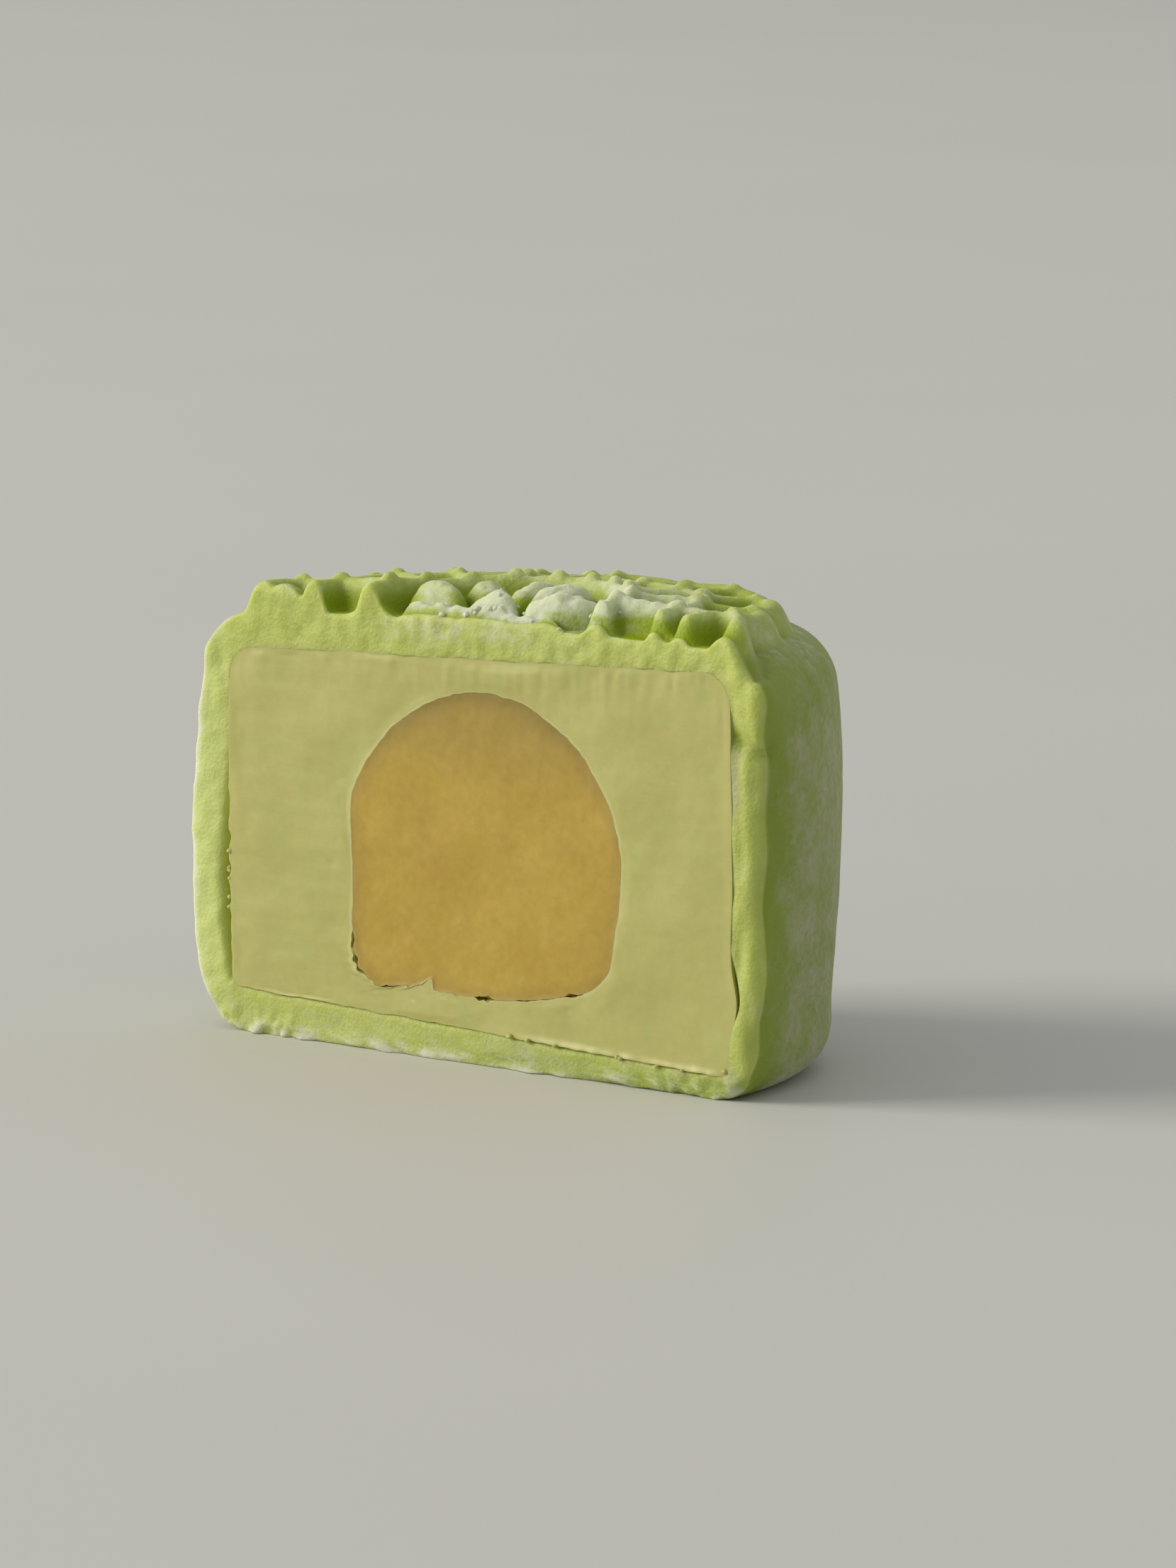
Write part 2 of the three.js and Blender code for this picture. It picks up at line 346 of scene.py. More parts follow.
def flower(distance, turn):
    """The petals and the button at the middle of the top."""
    petal_turn = 2 * math.pi / PETALS
    from_petal = turn - petal_turn * (math.floor(turn / petal_turn) + 0.5)
    length = (distance * math.cos(from_petal) - PETAL_RING) / PETAL_HALF_LENGTH
    width = distance * math.sin(from_petal) / PETAL_HALF_WIDTH
    petal = max(0.0, 1 - length ** 2 - width ** 2) ** 0.6
    button = max(0.0, 1 - (distance / BUTTON_RADIUS) ** 2) ** 0.6
    return petal, button


def lattice(distance, turn, thinner):
    """The ribs and rings round the flower, and a place's distance once the rim's lobes are evened out."""
    turn -= RELIEF_TURN
    swell = abs(math.sin(turn * LOBES / 2)) ** LOBE_FULLNESS
    if distance > OUTER_RING:
        spread = LOBE_DEPTH * (swell - 0.5) / (RIM_RADIUS - OUTER_RING)
        distance = (distance + OUTER_RING * spread) / (1 + spread)
    lobe_turn = 2 * math.pi / LOBES
    from_rib = (turn - lobe_turn * round(turn / lobe_turn)) * distance
    rib = soft_ridge(from_rib, RIB_HALF) * smooth(INNER_RING - 1, INNER_RING, distance)
    rib *= 1 - smooth(0, 0.5, distance - RIM_RADIUS)
    rim = soft_ridge(distance - RIM_RADIUS, RIM_HALF)
    outer = soft_ridge(distance - OUTER_RING, RING_HALF - thinner)
    inner = soft_ridge(distance - INNER_RING, RING_HALF)
    return (rib, rim, outer, inner), distance


def relief(x, y):
    """The relief's height over the cake's plain top at a place, and how deep in a cell that is."""
    along, back = x + TOP_TO_PART, y + CUT_OFFSET
    x -= RIM_PUSH * smooth(20.6, 24.6, along) * bell(back / 4)
    loose = 0.5 - 0.35 * bell(back / 4)
    x += loose * lumps((x, y, 0), 7, 1)
    y += loose * lumps((x, y, 0), 7, 2)
    x, y = x - RELIEF_X, y / RELIEF_DEPTH_SHARE
    distance, turn = math.hypot(x, y), math.atan2(y, x)

    petals = flower(distance, turn)
    thinner = 0.5 * bell((along - 19.4) / 2) * bell(back / 2.5)
    rings, distance = lattice(distance, turn, thinner)
    lower = mix(1, RIM_SHARE + 0.2 * bell(back / 6), smooth(INNER_RING, RIM_RADIUS, distance))
    pressed = press_ends(along, back)
    ridges = [ring * lower * pressed for ring in rings]
    ridges += [petal * pressed for petal in petals]
    height = sum(part ** 4 for part in (*ridges, *cut_lumps(along, back))) ** 0.25
    height *= 1 + 0.16 * lumps((x, y, 3), 6, 3)

    bank = crumbled(along, back)
    crumbs = bank * (0.42 + 0.25 * lumps((x, y, 0), 2.6, 40) + 0.16 * lumps((x, y, 0), 1.0, 41))
    outside = max(0.0, distance - RIM_RADIUS)
    groove = 0.75 * bell((outside - 2.1) / 1.0) * bell(back / 4.5) * smooth(19, 23, along)
    floor = CELL_FLOOR * (1 - smooth(0, 2, outside))
    deep = (1 - smooth(0, 1.2, outside)) * (1 - smooth(0.4, 0.85, height)) * (1 - bank)
    return floor + RELIEF_RISE * max(height, crumbs) - groove, deep


# The skin

SKIN_SHARES = stretches((0.22, 14), (0.355, 34), (0.655, 56), (0.745, 24), (1.0, 98))
SKIN_TURNS = 300
HOLLOW_TURNS = 40
SKIN_RINGS = 14
EDGE_REACH = 3.0

# Features along the cut, in the part's frame
PAD_Z = 33.9
PAD_HALF = 3.2
PAD_PUSH = 1.1
PAD_BULGE = 0.8
NOTCH_Z = 29.0
NOTCH_HALF = 0.85
FULL_Z = 9.5
FULL_HALF = 4.5
FULL_PUSH = 0.85
LEFT_CREVICE_Z = 13.5
LEFT_CREVICE_HALF = 11.5
RIGHT_CREVICE_Z = 9.5
RIGHT_CREVICE_HALF = 3.4
SEAM_BEND = 0.6
SEAM_BEND_Z = 8
SEAM_BEND_HALF = 2.4
LEAST_TUFT = -0.2
FLOURY_X = 8
FLOURY_HALF = 14
IN_CREVICE = -0.5


def mould_cake(point):
    """Gives a point of the plain turned body the cake's real form, and says how deep in a cell it is."""
    downwards = max(0.0, 1 - point.z / FOOT_SHIFT_HEIGHT)
    point.x += FOOT_SHIFT * downwards ** 2 * abs(point.x) / CAKE_RADIUS
    cell = 0.0
    share = min(1.0, math.hypot(point.x, point.y) / CAKE_RADIUS)
    raised = smooth(CAKE_HEIGHT / 2, CAKE_HEIGHT - SHOULDER_ROUND, point.z)
    shoulder = CAKE_HEIGHT - SHOULDER_ROUND / 2
    if point.z > shoulder:
        rise, cell = relief(point.x, point.y)
        point.z += rise * smooth(shoulder, shoulder + 1, point.z)
    point.z += CAKE_CROWN * (1 - share ** 2) * raised
    slope(point, 0, TOP_RISE, 0, CAKE_HEIGHT)
    point.x += LEAN * (point.z - LEAN_HEIGHT)
    return cell


def at_left(x):
    """1 in the cut edge's strip at the left end, 0 further in."""
    return 1 - smooth(-RIGHT_END + 3, -RIGHT_END + 6, x)


def at_right(x):
    """1 in the cut edge's strip at the right end, 0 further in."""
    return smooth(RIGHT_END - 6, RIGHT_END - 3, x)


def edge_round(point):
    """The radius to which the cut's outer edge has slumped: more on the right, below the pad."""
    wall = smooth(1.5, 5, point.z) * (1 - smooth(NOTCH_Z - 0.5, NOTCH_Z + 1.5, point.z))
    wall *= 1 - 0.4 * bell((point.z - FULL_Z) / FULL_HALF)
    slumped = at_right(point.x) * wall
    standing = smooth(0.2, 1.6, point.z)
    tucked = 0.55 * smooth(0, 18, point.x) * (1 - smooth(0.8, 2.6, point.z))
    uneven = 0.12 * lumps(point, 3, 42) + 0.35 * lumps(point, 6, 47) * slumped
    return 0.08 + tucked + standing * (0.37 + 0.8 * slumped + uneven)


def notch_at(point):
    """Where the skin tore at the right of the cut: a slanting dent, from 0 to 1."""
    middle = NOTCH_Z + 0.45 * (RIGHT_END - point.x) + 0.7 * lumps(point, 2.2, 52)
    return bell((point.z - middle) / NOTCH_HALF) * bell((point.x - RIGHT_END + 0.9) / 2)


def pinch_edge(point):
    """The pad at the upper right of the cut's edge, the notch below it and the fuller edge low down."""
    off_cut = point.y - CUT_Y
    near = bell(off_cut / 4.6)
    right = bell((point.x - RIGHT_END + 0.8) / 2.4)
    pad = bell((point.z - PAD_Z) / PAD_HALF) * near * right
    full = bell((point.z - FULL_Z) / FULL_HALF) * near * right
    notch = notch_at(point) * bell(off_cut / 2.2)
    dimples = bell(off_cut / 2) * right * smooth(3, 6, point.z) * lumps((0, point.y, point.z), 5, 48)
    point.x += FULL_PUSH * full + PAD_PUSH * pad - 0.7 * notch + 0.45 * dimples
    point.y += 0.5 * notch - 0.3 * pad


def left_crevice(z):
    """How far open, from 0 to 1, the skin is at the left of the cut. It is widest near the foot."""
    return hump((z - LEFT_CREVICE_Z) / LEFT_CREVICE_HALF) ** 0.7 * mix(1.0, 0.45, smooth(6, 22, z))


def right_crevice(z):
    """How far open, from 0 to 1, the skin is at the lower right of the cut."""
    return hump((z - RIGHT_CREVICE_Z) / RIGHT_CREVICE_HALF)


def seam_groove(x, z):
    """How far behind the cut the skin's edge meets the filling, and how wide the slope to there is."""
    if x < 0 and z > FILLING_FOOT + 1.5:
        return 0.05 + 1.7 * left_crevice(z), 0.5 + 1.0 * left_crevice(z)
    if z > FILLING_FOOT + 2.5:
        return 0.04 + 0.45 * right_crevice(z), 0.4
    wander = 0.19 + 0.2 * lumps((x, 0, 0), 4.5, 5) + 0.12 * lumps((x, 0, 0), 1.2, 6)
    return 0.04 + max(0.04, wander) * (1 - smooth(24.5, 26.5, abs(x))), 0.34


def wrap(point, of_skin):
    """The surface where skin and filling meet, for a point of the filling's plain turned body."""
    slope(point, FILLING_FOOT_RISE, FILLING_TOP_RISE, FILLING_FOOT, FILLING_TOP)
    point.x += FILLING_X
    point += TO_PART
    edge = bell((point.y - CUT_Y) / 1.5)
    on_wall = smooth(FILLING_RADIUS - 3, FILLING_RADIUS - 0.5, abs(point.x - FILLING_X))
    point.x += 0.12 * lumps(point, 5, 7) * on_wall * edge
    if point.x > 0:
        point.x += SEAM_BEND * bell((point.z - SEAM_BEND_Z) / SEAM_BEND_HALF) * on_wall * edge
    point.z += (0.12 * lumps(point, 3, 8) + 0.09 * lumps(point, 1.1, 46)) * (1 - on_wall) * edge
    if of_skin:
        near = hump((point.y - CUT_Y) / 3)
        if point.x < 0:
            point.x -= 0.16 * left_crevice(point.z) * near
        else:
            point.x += 0.1 * right_crevice(point.z) * near
        if point.z < FILLING_TOP - 2:
            point.y += seam_groove(point.x, point.z)[0] * near


def fray(point):
    """How ragged the skin is at its foot along the cut."""
    return (1 - smooth(0.3, 2.4, point.z)) * bell((point.y - CUT_Y) / 0.9)


def tuft(point):
    """The torn tufts of dough along the cut's foot, from about -1 to 1."""
    return 1.1 * lumps((point.x, 0, point.z), 1.1, 14) + 0.8 * lumps((point.x, 0, point.z), 0.6, 15)


def on_relief(z):
    """0 on the plain body, rising to 1 on the relief's ridges."""
    return smooth(CAKE_HEIGHT - 1, CAKE_HEIGHT + 2, z)


def floury(point):
    """How near a place of the top is to where most of the flour lies, from 0 to 1."""
    return bell(math.hypot(point.x - FLOURY_X, point.y - CUT_Y) / FLOURY_HALF) * on_relief(point.z)


def unevenness(point, cell):
    """How far a point of the skin's outside stands out: dents, ripples and crumbly flour."""
    dents = 0.24 * lumps(point, 12, 9) * (1 - on_relief(point.z))
    ripples = 0.09 * lumps(point, 3.4, 10) + 0.035 * lumps(point, 1.2, 11)
    crumbs = 0.3 * lumps(point, 2.6, 33) + 0.28 * lumps(point, 1.4, 12) + 0.2 * lumps(point, 0.7, 13)
    return smooth(0.2, 2.5, point.z) * (dents + ripples + floury(point) * crumbs * (1 - cell))


def dust_outside(point, cell):
    """How floury and how freshly cut a point of the skin's outside looks."""
    off_cut = point.y - CUT_Y
    behind = smooth(1.4, 6.2, off_cut + 1.2 * lumps(point, 4, 16))
    wall = (0.02 + 0.56 * behind) * (1 - 0.45 * smooth(27, 34, point.z))
    ridge_dust = (1 - cell) * (0.2 + 0.6 * floury(point))
    bank = crumbled(point.x, off_cut) * on_relief(point.z)
    sprinkled = 0.4 * bell((point.x - 10) / 8) * bell((off_cut - 2) / 4.5)
    haze = ridge_dust + 0.15 * floury(point) + 0.5 * bank + 1.4 * sprinkled
    on_top = smooth(CAKE_HEIGHT, CAKE_HEIGHT + 1.2, point.z)
    return mix(wall, haze - (0.5 - sprinkled) * cell, on_top), 0.85 * on_top * (1 - cell)


def lay_edge(start, end, share):
    """A point of the skin's cut edge, between its outside at start and the seam at end."""
    eased = share - 0.12 * math.sin(2 * math.pi * share)
    point = start.lerp(end, eased)

    # It carries on the roundness of the outer edge
    depth = (end - start).length * eased
    radius = start.y - CUT_Y
    reach = radius * (1 + 0.4 * at_right(start.x))
    point.y = CUT_Y
    if radius < 0.05:
        point.y += radius * (1 - smooth(0, 0.7, depth))
    elif depth < reach:
        point.y += radius * (1 - math.sqrt(1 - (1 - depth / reach) ** 2))

    # The knife left it rough, fluffy at the foot and folded on the right
    ends = smooth(0, 0.15, share) * (1 - smooth(0.9, 1, share))
    foot = 1 - smooth(FILLING_FOOT - 2.2, FILLING_FOOT - 0.2, point.z)
    top = smooth(FILLING_TOP - 1, FILLING_TOP + 1, point.z)
    soft = max(top, at_left(point.x))
    rough = (0.07 + 0.1 * soft) * lumps(point, 2.2, 17) + (0.05 + 0.14 * soft) * lumps(point, 1.2, 18)
    fluffy = foot * (0.2 * lumps(point, 0.8, 19) - 0.4 * max(LEAST_TUFT, tuft(point)))
    folded = smooth(RIGHT_END - 4, RIGHT_END - 3, point.x)
    folds = 0.3 * lumps((point.x, 0, point.z / 4), 1.1, 36) * folded
    pad = bell((point.z - PAD_Z) / PAD_HALF) * bell((point.x - RIGHT_END + 1) / 2.2)
    bulge = PAD_BULGE * pad * hump((share - 0.35) / 0.6) - 0.55 * notch_at(point) * ends
    point.y += ends * (rough + fluffy + folds) - bulge

    # It slopes back to the seam
    to_seam = (end - point).xz.length
    point.y += (end.y - CUT_Y) * (1 - smooth(0, seam_groove(end.x, end.z)[1], to_seam))
    return point


def dust_edge(point, share):
    """How floury, how freshly cut and how far in a crevice a point of the skin's cut edge looks, with
    painted shade low on the right.
    """
    sunk = smooth(0.08, 0.4, point.y - CUT_Y) * smooth(0.55, 0.7, share)
    # Painted shade: low on the right of the cut edge the fresh-cut share drops, so the darker outside
    # colour shows there
    painted_shade_low_right = (1 - smooth(0.6, 3, point.z)) * smooth(-12, 14, point.x)
    left = at_left(point.x)
    flour = max(
        (1 - smooth(0.3, 1.8, point.z)) * (0.35 + 1.4 * tuft(point)),
        0.3 * (1 - smooth(2, 4, point.z)),
        # the lower right corner
        0.85 * bell((point.x - RIGHT_END + 3) / 1.1) * (1 - smooth(1.5, 4, point.z)),
        # the middle of the top band
        0.4 * smooth(FILLING_TOP, FILLING_TOP + 2, point.z) * bell(point.x / 11),
        # the right-hand strip, below the notch and all along the seam
        0.8 * bell((point.x - RIGHT_END + 2.9) / 1.1) * bell((point.z - 26.5) / 3.5),
        0.55 * bell((point.x - RIGHT_END + 3.3) / 0.6) * smooth(11, 15, point.z)
        * (1 - smooth(26, 29, point.z)),
        # flour from the outside along the edge, most of it at the left, where its extra whiteness is also
        # painted light from the left
        (0.35 + 0.6 * left) * (1 - smooth(0.06 + 0.09 * left, 0.22 + 0.22 * left, share)))
    crevice = sunk * (1 - min(1, 2 * notch_at(point)))
    return flour + IN_CREVICE * sunk, (1 - sunk) * (1 - 0.6 * painted_shade_low_right), crevice


def make_skin(material):
    bm = new_body()
    flour = bm.verts.layers.float.new("flour")
    cell = bm.verts.layers.float.new("cell")
    # How freshly cut the dough looks; at the cut's lower right it is lowered as painted shade
    fresh = bm.verts.layers.float.new("fresh_cut_and_shade")
    crevice = bm.verts.layers.float.new("crevice")

    outline = body_outline(
        CAKE_RADIUS, 0, CAKE_HEIGHT, FOOT_ROUND, SHOULDER_ROUND, CAKE_BARREL, SKIN_SHARES)
    outside, rim = half_turn(bm, outline, SKIN_TURNS, CAKE_RADIUS, CUT_OFFSET)
    for vert in outside:
        vert[cell] = mould_cake(vert.co)
        vert.co += TO_PART
    bm.normal_update()
    for vert in outside:
        point, normal = vert.co.copy(), vert.normal.copy()
        off_cut = point.y - CUT_Y
        normal.y *= smooth(0, 0.5, off_cut)
        vert.co += normal * unevenness(point, vert[cell])
        pinch_edge(vert.co)
        if off_cut < EDGE_REACH:
            vert.co.y += edge_round(point) * (1 - off_cut / EDGE_REACH) ** 2
            vert.co.y -= 0.6 * max(LEAST_TUFT, tuft(point)) * fray(point)
        vert[flour], vert[fresh] = dust_outside(point, vert[cell])

    hollow_outline = body_outline(
        FILLING_RADIUS - PRESS, FILLING_FOOT + PRESS, FILLING_TOP - PRESS,
        FILLING_FOOT_ROUND, FILLING_TOP_ROUND, FILLING_BARREL, SKIN_SHARES)
    hollow, hollow_rim = half_turn(bm, hollow_outline, HOLLOW_TURNS, FILLING_RADIUS, CUT_OFFSET, 0.8)
    for vert in hollow:
        wrap(vert.co, True)
        vert[crevice] = 1
        vert[flour] = IN_CREVICE

    band = close_cut(bm, rim, matching(bm, hollow_rim), SKIN_RINGS, lay_edge)
    for vert, share in band:
        vert[flour], vert[fresh], vert[crevice] = dust_edge(vert.co, share)
    weld_last(bm, band, hollow_rim)
    return settle("snow_skin", bm, material, "skin")


# The filling

FILLING_SHARES = stretches((0.3, 70), (0.36, 22), (0.64, 76), (0.72, 24), (1.0, 70))
FILLING_TURNS = 60
POCKET_TURNS = 24
FILLING_RINGS = 44

# Where the core's foot has come away from the filling: x, z, half length and width
CORE_CREVICES = (
    (-12.1, 8.0, 1.8, 0.62),
    (-8.9, 6.6, 1.8, 0.4),
    (1.9, 5.7, 1.4, 0.5),
    (6.5, 6.2, 5.0, 0.1),
    (11.3, 7.9, 1.6, 0.42),
)
# Where paste stands up into the core's foot, and the height of the core's middle
TORN_CRUMB_X = -4.9
CORE_MIDDLE = 17


def core_edge(point, opening):
    """The surface where core and filling meet, for a point of the core's plain turned body.

    opening is 1 on the filling's side and -1 on the core's.
    """
    rightwards = smooth(0, CORE_RADIUS, point.x)
    downwards = min(1.0, max(0.0, 1 - (point.z - CORE_FOOT) / CORE_RADIUS))
    point.z += CORE_FOOT_LIFT * rightwards * downwards
    point.x -= CORE_TAPER * rightwards * downwards ** 2
    leftwards = min(1.0, max(0.0, -point.x / CORE_RADIUS))
    point.x -= CORE_SWELL * leftwards * hump((point.z - CORE_SWELL_HEIGHT) / CORE_SWELL_HALF)
    point.x += CORE_X
    point += TO_PART
    edge = bell((point.y - CUT_Y) / 2)
    from_middle = Vector((point.x - CORE_X, 0, point.z - CORE_MIDDLE))
    if from_middle.length < 1:
        return
    from_middle.normalize()
    waver = 0.18 * lumps(point, 3.2, 21) + 0.09 * lumps(point, 1.1, 22) + 0.05 * lumps(point, 0.5, 45)
    bitten = (1 - smooth(8, 11, point.z)) * (1 - smooth(-6, 3, point.x))
    ragged = (0.5 * lumps(point, 1.3, 23) + 0.35 * lumps(point, 0.6, 35)) * bitten
    point += from_middle * edge * (waver + ragged)
    crumb = math.exp(-abs((point.x - TORN_CRUMB_X) / 0.8) ** 3) * (1 - smooth(8, 12, point.z)) * edge
    point -= from_middle * 1.3 * crumb
    for x, z, half_length, width in CORE_CREVICES:
        open_here = hump((point.x - x) / half_length) * hump((point.z - z) / 3)
        open_here *= 1 + 0.9 * lumps(point, 0.9, 49) + 1.1 * lumps(point, 0.45, 53)
        point += from_middle * opening * width / 2 * open_here * hump((point.y - CUT_Y) / 1.1)


def foot_lip(point):
    """The broken lip of paste that the knife pushed up along the filling's foot, on the right."""
    foot = FILLING_FOOT + FILLING_FOOT_RISE * point.x
    uneven = 0.55 + 0.9 * lumps((point.x, 0, 0), 1.6, 43) + 0.5 * lumps((point.x, 0, 0), 0.7, 44)
    reach = smooth(2, 13, point.x) * (1 - smooth(26, 27.5, point.x))
    return max(0.0, min(1.0, uneven)) * reach * bell((point.z - foot - 0.12) / 0.3)


def make_filling(material):
    bm = new_body()
    halo = bm.verts.layers.float.new("by_core")
    outline = body_outline(
        FILLING_RADIUS, FILLING_FOOT, FILLING_TOP,
        FILLING_FOOT_ROUND, FILLING_TOP_ROUND, FILLING_BARREL, FILLING_SHARES)
    outside, rim = half_turn(bm, outline, FILLING_TURNS, FILLING_RADIUS, CUT_OFFSET, 0.6)
    for vert in outside:
        wrap(vert.co, False)
        bites = max(0.0, lumps(vert.co, 1.1, 24) + 0.2) * 0.5 * bell((vert.co.y - CUT_Y) / 0.8)
        if vert.co.x < 0:
            vert.co.x += bites * hump((vert.co.z - LEFT_CREVICE_Z - 1) / LEFT_CREVICE_HALF)

    pocket_outline = body_outline(
        CORE_RADIUS - PRESS, CORE_FOOT + PRESS, CORE_TOP - PRESS,
        CORE_FOOT_ROUND, CORE_RADIUS - PRESS, CORE_BARREL, FILLING_SHARES)
    pocket, pocket_rim = half_turn(bm, pocket_outline, POCKET_TURNS, CORE_RADIUS, CORE_BEHIND_CUT, 0.8)
    for vert in pocket:
        core_edge(vert.co, 1)

    def place(start, end, share):
        eased = share - 0.13 * math.sin(2 * math.pi * share)
        point = start.lerp(end, eased)
        ends = smooth(0, 1.2, (point - start).length) * smooth(0, 1.2, (end - point).length)
        waves = 0.20 * lumps(point, 9, 25) + 0.09 * lumps(point, 3.5, 26) + 0.03 * lumps(point, 1.3, 54)
        drag = 0.05 * lumps((point.x / 5, 0, point.z), 1.1, 27) * (0.3 + 0.5 * bell((point.x + 22) / 8))
        ticks = 0.10 * lumps((point.x, 0, point.z / 5), 0.8, 28) * smooth(29, 34, point.z)
        pits = 0.12 * max(0.0, lumps(point, 0.9, 29) - 0.55) / 0.45
        point.y += ends * (waves + drag + ticks + pits) - 0.22 * foot_lip(point)
        return point

    face = close_cut(bm, rim, matching(bm, pocket_rim), FILLING_RINGS, place)
    for vert, share in face:
        worked = smooth(0.86, 0.96, share + 0.06 * lumps(vert.co, 2.0, 50))
        vert[halo] = max(worked, 1.6 * foot_lip(vert.co))
    weld_last(bm, face, pocket_rim)
    return settle("bean_filling", bm, material, "filling")


# The core

CORE_SHARES = stretches((0.2, 28), (0.36, 30), (1.0, 92))
CORE_TURNS = 40
CORE_RINGS = 40


def make_core(material):
    bm = new_body()
    rimward = bm.verts.layers.float.new("by_edge")
    outline = body_outline(
        CORE_RADIUS, CORE_FOOT, CORE_TOP, CORE_FOOT_ROUND, CORE_RADIUS, CORE_BARREL, CORE_SHARES)
    outside, rim = half_turn(bm, outline, CORE_TURNS, CORE_RADIUS, CORE_BEHIND_CUT, 0.6)
    for vert in outside:
        core_edge(vert.co, -1)
        vert[rimward] = 1
    middle = Vector((CORE_X + TO_PART.x, CUT_Y, CORE_MIDDLE))

    def place(start, end, share):
        point = start.lerp(end, share - 0.08 * math.sin(2 * math.pi * share) * (1 - share))
        ends = smooth(0, 0.06, share)
        waves = 0.10 * lumps(point, 6, 30) + 0.05 * lumps(point, 2, 31) + 0.015 * lumps(point, 0.8, 32)
        point.y = CUT_Y + 0.03 * ends + ends * waves * (1 - smooth(0.97, 1, share))
        return point

    face = close_cut(bm, rim, lambda vert: middle, CORE_RINGS, place)
    for vert, share in face:
        vert[rimward] = 1 - smooth(0.02, 0.2 + 0.08 * lumps(vert.co, 3, 51), share)
    weld_last(bm, face)
    return settle("custard_core", bm, material, "core")


# Loose lumps of flour and crumbs

FLOUR_LUMPS = 18
FOOT_CRUMBS = 7
CREVICE_CRUMBS = 7
CREVICE_CRUMB_KIND = 50
CORNER_CRUMB = Vector((27.7, CUT_Y + 0.05, 2.5))
CORNER_CRUMB_SIZE = 0.32
CORNER_CRUMB_KIND = 49


def add_lump(bm, spot, size, kind):
    """A rough ball of this radius, a little flattened. Each kind is rough in its own way."""
    made = bmesh.ops.create_icosphere(bm, subdivisions=2, radius=size)
    for vert in made["verts"]:
        vert.co *= 1 + 0.45 * lumps(vert.co, size * 1.1, kind)
        vert.co.z *= 0.8
        vert.co += spot


def flour_spots(skin, dice):
    """Places on the skin's relief, near its middle, where lumps of flour lie."""
    spots = []
    chances = [v for v in skin.data.vertices if v.co.z / MM > CAKE_HEIGHT + 1.2]
    while len(spots) < FLOUR_LUMPS:
        vert = dice.choice(chances)
        point = vert.co / MM
        near = bell((point.x - 2) / 9) * bell((point.y - CUT_Y) / 3)
        if dice.random() < 0.5 * near + 0.2 * bell(math.hypot(point.x - 6, point.y - CUT_Y) / 10):
            spots.append(point)
    return spots


def make_flour(skin, material):
    dice = random.Random(5)
    bm = bmesh.new()
    for number, spot in enumerate(flour_spots(skin, dice)):
        size = 0.16 + 0.16 * dice.random() ** 2
        spot.y = max(spot.y, CUT_Y + 0.25)
        add_lump(bm, spot, size, number)
    return settle("flour_lumps", bm, material)


def make_crumbs(material):
    """Crumbs of filling that the knife left along the filling's foot and in the crevice."""
    dice = random.Random(11)
    bm = bmesh.new()
    for number in range(FOOT_CRUMBS):
        x = mix(2, 27, dice.random() ** 0.7)
        size = 0.14 + 0.14 * dice.random()
        foot = FILLING_FOOT + FILLING_FOOT_RISE * x
        add_lump(bm, Vector((x, CUT_Y - 0.16, foot - 0.1 + 0.2 * dice.random())), size, number)
    add_lump(bm, CORNER_CRUMB, CORNER_CRUMB_SIZE, CORNER_CRUMB_KIND)
    for number in range(CREVICE_CRUMBS):
        z = mix(10.5, 15.5, dice.random())
        size = 0.2 + 0.2 * dice.random()
        spot = Vector((-27.0 + 0.3 * dice.random(), CUT_Y + 0.25, z))
        add_lump(bm, spot, size, CREVICE_CRUMB_KIND + number)
    return settle("filling_crumbs", bm, material)


# Materials

# The Mix node's sockets for colours, and settings that many nodes share
SHARE, FIRST, SECOND, MIXED = 0, 6, 7, 2
COLOURS = {"data_type": "RGBA"}
EASED = {"interpolation_type": "SMOOTHSTEP"}


def colour(code):
    """An sRGB hex value as Blender's linear colour."""
    channels = [int(code[i:i + 2], 16) / 255 for i in (1, 3, 5)]
    return [c / 12.92 if c <= 0.04045 else ((c + 0.055) / 1.055) ** 2.4 for c in channels] + [1]


def add(tree, kind, settings=None, sockets=None):
    """Adds a node with its settings, and sets or links its sockets."""
    node = tree.nodes.new(kind)
    for name, value in (settings or {}).items():
        setattr(node, name, value)
    for name, value in (sockets or {}).items():
        if isinstance(value, bpy.types.NodeSocket):
            tree.links.new(value, node.inputs[name])
        else:
            node.inputs[name].default_value = value
    return node


def new_material(name):
    material = bpy.data.materials.new(name)
    material.use_nodes = True
    tree = material.node_tree
    tree.nodes.clear()
    coords = add(tree, "ShaderNodeTexCoord").outputs["Object"]
    return material, tree, coords


def per_metre(size):
    """The texture scale whose lumps are this many millimetres across."""
    return 1 / (size * MM)


